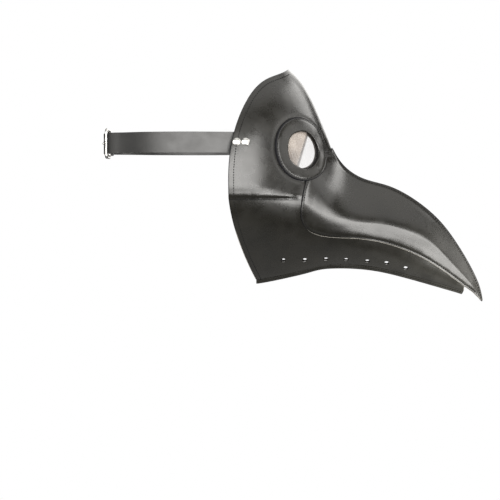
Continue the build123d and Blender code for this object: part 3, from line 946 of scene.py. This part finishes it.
def leather(name, dark, pale, rough_low, rough_high, grain=1.0):
    """Smooth artificial leather: faint cloudy colour, uneven gloss, fine grain and creases. It is
    painted paler in patches toward the lower front of the mask, as painted light where the jaw's end
    catches light."""
    made = Shader(name)
    clean = made.ramp(made.noise(38, 4), dark, pale, 0.3, 0.72)
    patches = made.remap(made.noise(70, 5, 0.6), 0.3, 0.6, 0.45)
    # painted light: paler in random patches toward the lower front of the mask
    painted_light = made.product(made.remap(made.along(PAINTED_LIGHT_ALONG), PAINTED_LIGHT_FROM, PAINTED_LIGHT_TO), patches)
    pebble = made.node("TexVoronoi", made.space, feature="SMOOTH_F1", Scale=950.0)
    return made.surface({
        "Base Color": made.mix(painted_light, clean, PAINTED_LIGHT_COLOUR),
        "Roughness": made.remap(made.noise(75, 5, 0.6), 0.3, 0.7, rough_low, rough_high),
        "Normal": made.bumped(
            (pebble.outputs["Distance"], 0.0001, 0.2 * grain),
            (made.noise(160), 0.0002, 0.1 * grain),
            (made.noise(45, 2, 0.4), 0.0012, 0.2),
        ),
    })


def lining():
    """The leather's knitted backing."""
    made = Shader("lining")
    knit = made.node("TexWave", made.space, Scale=620.0, Distortion=1.5)
    cloud = made.noise(300, 4)
    return made.surface({
        "Base Color": made.ramp(cloud, (0.035, 0.034, 0.033), (0.07, 0.068, 0.065)),
        "Roughness": 0.92,
        "Sheen Weight": 0.25,
        "Normal": made.bumped((knit.outputs["Fac"], 0.0002, 0.5), (cloud, 0.0003, 0.4)),
    })


def cut_edge():
    """The edge of cut leather. It is inked black, except on the lower seams and edges, away from the
    middle of the mask, where it is painted pale grey in the colour of the leather's inside: a painted
    highlight along those seams."""
    made = Shader("cut_edge")
    fibres = made.noise(900, 4)
    # pale grey of the leather's inside, used as a painted highlight on the lower cut edges
    core_and_highlight = made.ramp(fibres, (0.12, 0.115, 0.1), (0.22, 0.21, 0.19))
    out = made.node("Math", made.along((0, 1, 0)), operation="ABSOLUTE")
    # where the painted highlight goes: away from the middle of the mask and low down
    highlight_aside = made.remap(out.outputs["Value"], HIGHLIGHT_EDGE_OUTSIDE * MM, (HIGHLIGHT_EDGE_OUTSIDE + 1) * MM)
    highlight_low = made.remap(made.along((0, 0, 1)), HIGHLIGHT_EDGE_BELOW * MM, (HIGHLIGHT_EDGE_BELOW - 6) * MM)
    return made.surface({
        "Base Color": made.mix(made.product(highlight_aside, highlight_low), INK, core_and_highlight),
        "Roughness": 0.8,
        "Specular IOR Level": 0.1,
        "Normal": made.bumped((fibres, 0.0002, 0.5)),
    })


def thread():
    """Waxed black thread, with its twist."""
    made = Shader("thread")
    twist = made.noise(2600, 2)
    return made.surface({
        "Base Color": made.ramp(twist, (0.003, 0.003, 0.003), (0.009, 0.009, 0.009), 0.35, 0.65),
        "Roughness": 0.85,
        "Specular IOR Level": 0.1,
        "Normal": made.bumped((twist, 0.0001, 0.5)),
    })


def clear_sheet():
    """Clear flexible plastic. Behind a slanting crease it has a warm haze, thicker higher up."""
    made = Shader("clear_sheet")
    crease = CREASE_X - CREASE_LEAN * CREASE_Z
    slant = made.along((1, 0, -CREASE_LEAN))
    veil = made.remap(slant, (crease - 0.7) * MM, (crease + 0.7) * MM, 0.52, 0.06)
    low, high = (EYE_Z - EYE_HOLE_R) * MM, (EYE_Z + EYE_HOLE_R) * MM
    return made.surface({
        "Base Color": made.ramp(made.noise(60), (0.15, 0.13, 0.115), (0.3, 0.265, 0.235)),
        "Roughness": 0.08,
        "Alpha": made.product(veil, made.remap(made.along((0, 0, 1)), low, high, 0.72, 1.25)),
        "IOR": 1.5,
        "Normal": made.bumped((made.noise(30, 2), 0.002, 0.1)),
    })


def nickel():
    """Polished nickel plate with fine handling marks."""
    made = Shader("nickel")
    marks = made.noise(700, 6, 0.7)
    return made.surface({
        "Base Color": made.ramp(marks, (0.4, 0.4, 0.39), (0.55, 0.54, 0.52)),
        "Roughness": made.remap(marks, 0, 1, 0.26, 0.42),
        "Metallic": 1.0,
        "Normal": made.bumped((marks, 0.00005, 0.3)),
    })


# --- assembly ---
def place(piece, slot, *nodes):
    """Rides a piece on its body and hides the CAD nodes that it stands for. Its slot, the name of its
    finish, is not used.
    """
    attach(piece, "mask")
    if nodes:
        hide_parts(*nodes)


def add_panels(skins):
    """The five leather panels."""
    face = cut_eyes(*whole_face(*face_surface()), EYE_HOLE_R + EYE_CUT_OUT)
    place(sheet_solid("face", *face, skins), "leather", "face_panel")
    surfaces = (("beak", beak_surface()), ("jaw", jaw_surface()))
    for side, name in SIDES:
        for part, surface in surfaces:
            panel = sheet_solid(f"{part}_{name}", *mirrored(*surface, side), skins, side)
            if part == "jaw":
                punched(panel, side)
            place(panel, "leather", f"{part}_panel_{name}")


def clear_of_eye(side_line):
    """The part of a side-view line that the eye ring doesn't cover."""
    points = on_skin(*side_line.T, False)
    return side_line[eye_distance(points, LEFT) > EYE_RING_R + 0.5]


def add_stitches(thread_material):
    """Every visible row of stitches."""
    beak_line = below_fin(shifted(BEAK_LINE, STITCH_INSET))
    beak_line = clear_of_eye(beak_line[beak_line[:, 0] < BEAK_STITCHES_TO])
    below_ring = beak_line[beak_line[:, 1] < BEHIND_RING]
    cheek = np.linspace(*[(x, CHEEK_Z + STITCH_INSET) for x in CHEEK_STITCHES], 120)
    back = shifted(BACK_LINE, BACK_STITCH_INSET)
    _, share = locate(*back.T)
    face_back = back[(share > 0.02) & (back[:, 1] > CHEEK_Z + 2)]
    jaw_back = below_fin(back[back[:, 1] < CHEEK_Z - 2])
    keel_from = section_of(jaw_back[-1]) + 4
    for side, name in SIDES:
        rows = [
            ("beak_edge", stitch_line(below_ring, side, beak_relief)),
            ("cheek_seam", stitch_line(cheek, side, face_relief, False)),
            ("face_edge", stitch_line(face_back, side, face_relief, False)),
            ("jaw_edge", stitch_line(jaw_back, side, jaw_relief)),
            ("ridge", fin_line(side, True, KNOTS[NOSE] - 3, KNOTS[-1] - 2)),
            ("keel", fin_line(side, False, keel_from, section_of(KEEL_STITCH_END))),
        ]
        for row, (points, normals) in rows:
            place(stitches(f"stitches_{row}_{name}", points, normals, thread_material), "leather")


def add_eyes(ring_materials, thread_material, lens_material):
    """Both eye rings, their stitches and the lenses."""
    for side, name in SIDES:
        place(eye_ring(side, f"ring_{name}", ring_materials), "leather", f"eye_ring_{name}")
        place(ring_stitches(side, f"stitches_ring_{name}", thread_material), "leather")
        place(lens(side, f"window_{name}", lens_material), "lens", f"lens_{name}")


def dress(node_name, material, bevel):
    """Gives a CAD piece its material and soft edges."""
    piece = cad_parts[node_name]
    piece.data.materials.clear()
    piece.data.materials.append(material)
    soft = piece.modifiers.new("soft_edges", "BEVEL")
    soft.width = bevel * MM
    soft.segments = 2
    soft.limit_method = "ANGLE"
    soft.angle_limit = math.radians(40)


FLOOR_DROP = 460  # how far the floor is below the mask
FLOOR_R, FLOOR_SIDES = 480, 96
FLOOR_TONE = 0.32
FLOOR_FADE = 0.45  # the share of its radius over which it fades out
LIGHT_COLOUR = (1.0, 0.985, 0.96)
STRIPS = ((-22, 142), (6, 146), (34, 160))  # turn round the mask in degrees, and power
STRIP_DISTANCE, STRIP_HEIGHT, STRIP_SIZE = 3.6, 0.15, (1.8, 2.4)
STRIP_AIM = (0.08, 0, -0.03)
LIGHTS = [  # name, place, aimed at, width and height, power
    ("top", (0.4, -0.3, 1.7), (0.05, 0, 0.0), (2.2, 2.0), 23),
    ("front", (1.48, 0.43, 0.97), (0.05, 0, 0.0), (0.9, 0.75), 14),
    ("cheek", (1.56, -0.32, 0.41), (0.05, 0, 0.0), (0.9, 0.7), 4.5),
    ("behind", (1.0, 1.3, 1.25), (0.05, 0, 0.0), (1.4, 0.8), 9),
    ("fold", (1.38, -0.92, -0.58), (0.03, 0, 0.0), (0.55, 0.4), 12),
    ("far_side", (0.0, 2.0, 0.4), (0.05, 0, 0.0), (2.4, 1.3), 26),
    ("rear", (-1.6, -0.3, 0.6), (0.0, 0, 0.0), (1.3, 1.1), 8),
]
ROOM_LIGHT = 0.03  # what the room sends onto the mask, where white is 1


def add_floor():
    """A pale round floor that fades into the white backdrop."""
    made = Shader("floor")
    scaled = made.node("Mapping", made.space, Scale=[1 / (FLOOR_R * MM)] * 3)
    fade = made.node("TexGradient", scaled.outputs[0], gradient_type="SPHERICAL")
    material = made.surface({
        "Base Color": (FLOOR_TONE, FLOOR_TONE, FLOOR_TONE, 1),
        "Roughness": 0.95,
        "Specular IOR Level": 0.1,
        "Alpha": made.ramp(fade.outputs["Fac"], (0, 0, 0), (1, 1, 1), 0.0, FLOOR_FADE),
    })
    turns = full_turn(FLOOR_SIDES)
    rim = [(FLOOR_R * math.cos(a), FLOOR_R * math.sin(a), 0) for a in turns]
    floor = new_piece("floor", rim, [list(range(FLOOR_SIDES))], [material])
    floor.location = (0.05, 0, CAD_BOX[0][2] - FLOOR_DROP * MM)


def add_backdrop():
    """A white backdrop all round, which lights the mask less than it shows."""
    world = bpy.data.worlds.new("studio")
    bpy.context.scene.world = world
    world.use_nodes = True
    nodes, link = world.node_tree.nodes, world.node_tree.links.new
    mix = nodes.new("ShaderNodeMixShader")
    for i, strength in ((1, ROOM_LIGHT), (2, 1.0)):
        white = nodes.new("ShaderNodeBackground")
        white.inputs["Color"].default_value = (1, 1, 1, 1)
        white.inputs["Strength"].default_value = strength
        link(white.outputs["Background"], mix.inputs[i])
    link(nodes.new("ShaderNodeLightPath").outputs["Is Camera Ray"], mix.inputs["Fac"])
    link(mix.outputs["Shader"], nodes["World Output"].inputs["Surface"])


def aimed(thing, spot, target):
    """Puts a lamp or the camera at a spot, looking at a target."""
    thing.location = spot
    thing.rotation_euler = (target - spot).to_track_quat("-Z", "Y").to_euler()


def strips():
    """The row of big soft lights on the camera's side, as rows of LIGHTS."""
    rows = []
    for i, (degrees, power) in enumerate(STRIPS):
        turn = math.radians(degrees)
        spot = (STRIP_DISTANCE * math.sin(turn), -STRIP_DISTANCE * math.cos(turn), STRIP_HEIGHT)
        rows.append((f"strip_{i + 1}", spot, STRIP_AIM, STRIP_SIZE, power))
    return rows


def add_lights():
    """Soft studio lights. The strips make the long highlight along the beak."""
    for name, spot, aim, size, power in LIGHTS + strips():
        data = bpy.data.lights.new(name, "AREA")
        data.shape = "RECTANGLE"
        data.size, data.size_y = size
        data.energy = power
        data.color = LIGHT_COLOUR
        aimed(in_scene(name, data), Vector(spot), Vector(aim))


def add_camera():
    """The wearer's right side, a little from the front and above, as far as a portrait lens stands."""
    target, distance, frame_width = Vector((0.010, 0, -0.072)), 1.8, 0.5
    azimuth, elevation = math.radians(3), math.radians(2)
    away = Vector((
        math.sin(azimuth) * math.cos(elevation),
        -math.cos(azimuth) * math.cos(elevation),
        math.sin(elevation),
    ))
    data = bpy.data.cameras.new("camera")
    data.sensor_width = 36
    data.lens = data.sensor_width * distance / frame_width
    bpy.context.scene.camera = in_scene("camera", data)
    aimed(bpy.context.scene.camera, target + away * distance, target)


add_camera()
black = leather("leather", *BLACK, *GLOSSY)
matt_black = leather("strap_leather", *GREY_BLACK, *MATT, STRAP_GRAIN)
sewn = thread()
edges = cut_edge()
add_panels([black, lining(), edges])
add_stitches(sewn)
add_eyes([black, edges], sewn, clear_sheet())
metal = nickel()
for _, name in SIDES:
    dress(f"lens_backing_{name}", matt_black, 0.3)
    dress(f"rivets_{name}", metal, 0.15)
for name in ("buckled_strap", "free_strap", "keeper"):
    dress(name, matt_black, 0.35)
for name in ("buckle_frame", "buckle_prong"):
    dress(name, metal, 0.1)
add_floor()
add_backdrop()
add_lights()
bpy.context.scene.view_settings.view_transform = "Standard"
